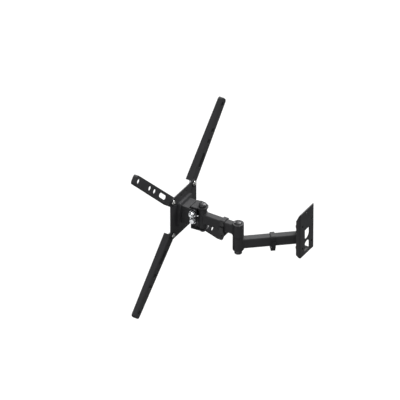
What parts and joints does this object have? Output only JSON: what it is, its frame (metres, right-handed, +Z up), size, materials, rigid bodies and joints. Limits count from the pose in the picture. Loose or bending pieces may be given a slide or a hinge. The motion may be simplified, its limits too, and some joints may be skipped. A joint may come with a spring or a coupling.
{
  "type": "full motion television wall mount",
  "caption": "Full motion television wall mount: a wall plate, a folding jointed steel arm, a swivel and tilt head, and a square screen plate with turning adapter arms.",
  "frame": {"origin": "centre of the four wall screw holes, on the wall plate's back face (the wall's surface)", "axes": "+Y into the wall (the mount reaches out along -Y towards the screen), +Z up, +X to the right of someone facing the wall"},
  "size_m": [0.4336, 0.3198, 0.4336],
  "materials": {
    "powder_coat": "fine textured black powder coat",
    "carrier_coat": "smooth black powder coat",
    "zinc_bolt": "bright zinc plate",
    "chrome_bolt": "bright nickel plate",
    "gloss_cap": "glossy",
    "nylon": "matt",
    "clip_plastic": "satin",
    "black_washer": "black oxide"
  },
  "bodies": {
    "wall_bracket": {"wall_plate": "powder_coat", "wall_pivot_bolt": "zinc_bolt", "wall_pivot_nut": "zinc_bolt", "wall_pivot_cap": "gloss_cap"},
    "inner_arm": {"inner_arm_tube": "powder_coat", "inner_arm_wall_barrel": "powder_coat", "inner_arm_elbow_barrel": "powder_coat", "wall_pivot_bushes": "nylon", "elbow_lower_bushes": "nylon", "elbow_bolt": "zinc_bolt", "elbow_washers": "zinc_bolt", "elbow_nut": "zinc_bolt", "elbow_top_cap": "gloss_cap", "elbow_bottom_cap": "gloss_cap"},
    "inner_clip": {"inner_cable_clip": "clip_plastic"},
    "outer_arm": {"outer_arm_tube": "powder_coat", "outer_arm_elbow_barrel": "powder_coat", "outer_arm_head_barrel": "powder_coat", "elbow_upper_bushes": "nylon", "head_pivot_bushes": "nylon"},
    "outer_clip": {"outer_cable_clip": "clip_plastic"},
    "fork": {"swivel_fork": "powder_coat", "head_pivot_bolt": "zinc_bolt", "head_pivot_nut": "zinc_bolt", "head_pivot_cap": "gloss_cap", "tilt_friction_washers": "nylon", "tilt_pivot_bolt": "zinc_bolt", "tilt_pivot_nut": "zinc_bolt", "tilt_lock_bolt": "zinc_bolt", "tilt_lock_nut": "zinc_bolt", "tilt_discs": "black_washer", "tilt_plain_washers": "zinc_bolt"},
    "screen_head": {"tilt_bracket": "powder_coat", "carrier_pan": "carrier_coat", "bracket_bolts": "zinc_bolt", "bracket_nuts": "zinc_bolt", "screen_plate": "powder_coat", "adapter_bolts": "chrome_bolt", "adapter_washers": "black_washer", "adapter_nuts": "zinc_bolt"},
    "adapter_upper_right": {"adapter_arm_upper_right": "powder_coat"},
    "adapter_upper_left": {"adapter_arm_upper_left": "powder_coat"},
    "adapter_lower_left": {"adapter_arm_lower_left": "powder_coat"},
    "adapter_lower_right": {"adapter_arm_lower_right": "powder_coat"}
  },
  "joints": [
    {"name": "wall_swivel", "type": "hinge", "parent": "wall_bracket", "child": "inner_arm", "pos_m": [0, -0.019, -0.0165], "axis": [0, 0, 1], "range_deg": [-120, 42]},
    {"name": "elbow", "type": "hinge", "parent": "inner_arm", "child": "outer_arm", "pos_m": [0.10219, -0.1395, 0.0233], "axis": [0, 0, 1], "range_deg": [-70, 100]},
    {"name": "head_swivel", "type": "hinge", "parent": "outer_arm", "child": "fork", "pos_m": [0.10219, -0.2435, 0.0233], "axis": [0, 0, 1], "range_deg": [-60, 60]},
    {"name": "head_tilt", "type": "hinge", "parent": "fork", "child": "screen_head", "pos_m": [0.10219, -0.2595, 0.0409], "axis": [1, 0, 0], "range_deg": [-15, 15]},
    {"name": "adapter_upper_right", "type": "hinge", "parent": "screen_head", "child": "adapter_upper_right", "pos_m": [0.15219, -0.3032, 0.0763], "axis": [0, 1, 0], "range_deg": [-45, 45]},
    {"name": "adapter_upper_left", "type": "hinge", "parent": "screen_head", "child": "adapter_upper_left", "pos_m": [0.05219, -0.3032, 0.0763], "axis": [0, 1, 0], "range_deg": [-45, 45]},
    {"name": "adapter_lower_left", "type": "hinge", "parent": "screen_head", "child": "adapter_lower_left", "pos_m": [0.05219, -0.3032, -0.0237], "axis": [0, 1, 0], "range_deg": [-45, 45]},
    {"name": "adapter_lower_right", "type": "hinge", "parent": "screen_head", "child": "adapter_lower_right", "pos_m": [0.15219, -0.3032, -0.0237], "axis": [0, 1, 0], "range_deg": [-45, 45]},
    {"name": "inner_clip_slide", "type": "slide", "parent": "inner_arm", "child": "inner_clip", "axis": [0.6468, -0.7627, 0], "range_m": [-0.03, 0.04]},
    {"name": "outer_clip_slide", "type": "slide", "parent": "outer_arm", "child": "outer_clip", "axis": [0, -1, 0], "range_m": [-0.015, 0.022]}
  ]
}
